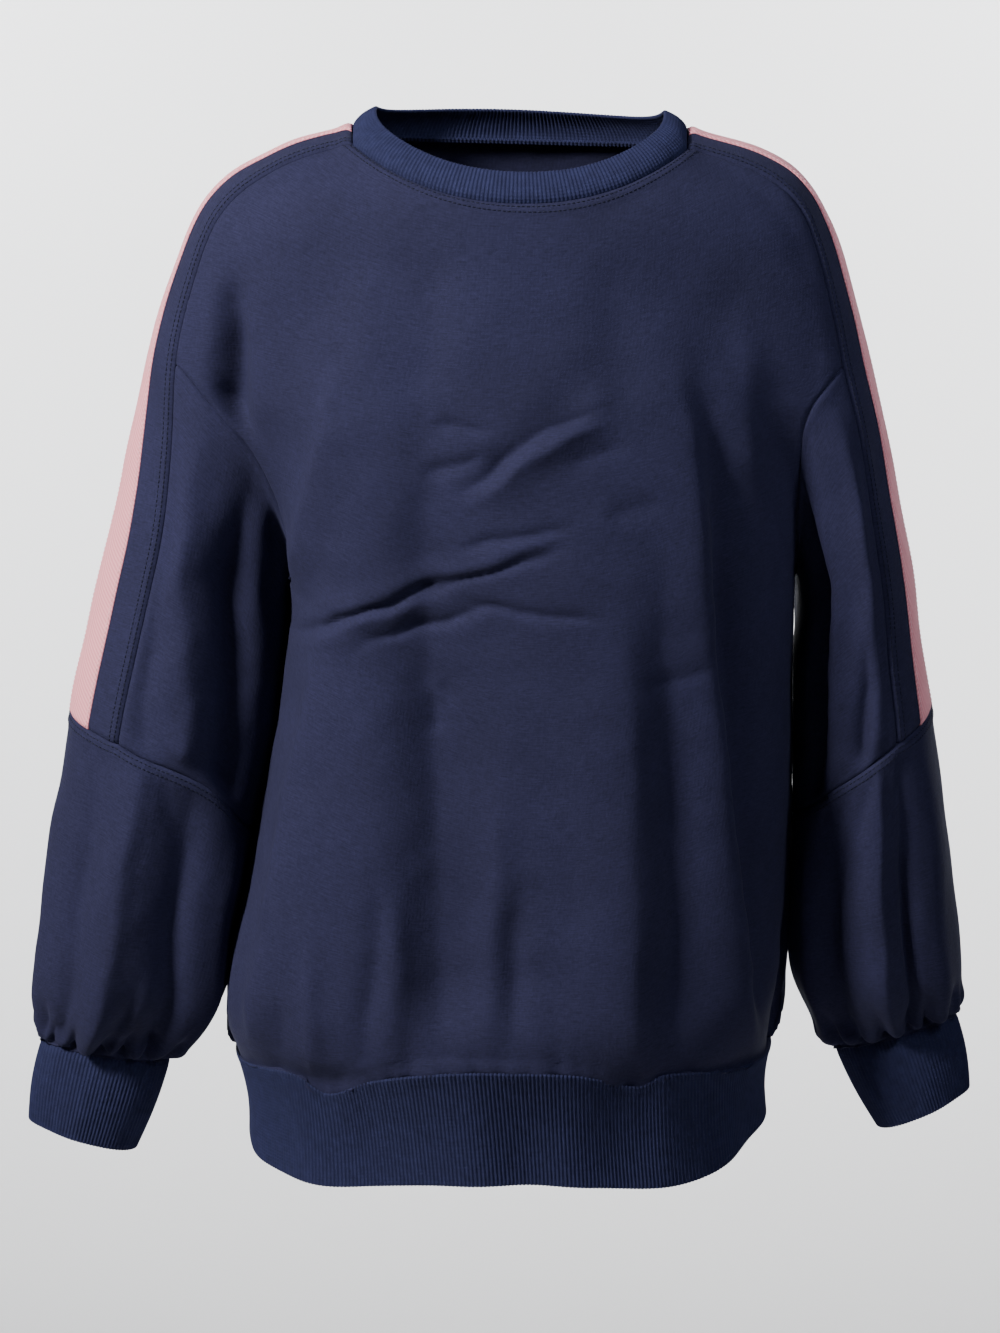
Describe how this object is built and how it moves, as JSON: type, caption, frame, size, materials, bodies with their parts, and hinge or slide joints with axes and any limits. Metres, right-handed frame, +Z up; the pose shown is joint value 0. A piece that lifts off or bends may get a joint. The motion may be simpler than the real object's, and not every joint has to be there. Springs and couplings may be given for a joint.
{
  "type": "crewneck sweatshirt",
  "caption": "Hollow worn crewneck sweatshirt with dropped sleeves, a trim tape down each arm, and a ribbed neckband, hem and cuffs.",
  "frame": {"origin": "midway between the two high points of the shoulders, at the neck seam, where the wearer carries the garment", "axes": "+Z up, front towards -Y, the wearer's left towards +X"},
  "size_m": [0.631, 0.2567, 0.6886],
  "materials": {
    "body_cloth": "smooth-faced heavy sweatshirt knit, navy",
    "rib_knit": "fine one-by-one rib knit, navy, folded double",
    "tape": "flat woven trim tape, pale pink"
  },
  "bodies": {
    "root": {"front": "body_cloth", "back": "body_cloth", "right_shoulder_panel": "body_cloth", "right_tape": "tape", "right_upper_sleeve": "body_cloth", "right_lower_sleeve": "body_cloth", "right_cuff": "rib_knit", "left_shoulder_panel": "body_cloth", "left_tape": "tape", "left_upper_sleeve": "body_cloth", "left_lower_sleeve": "body_cloth", "left_cuff": "rib_knit", "neckband": "rib_knit", "hem_band": "rib_knit"}
  },
  "joints": []
}
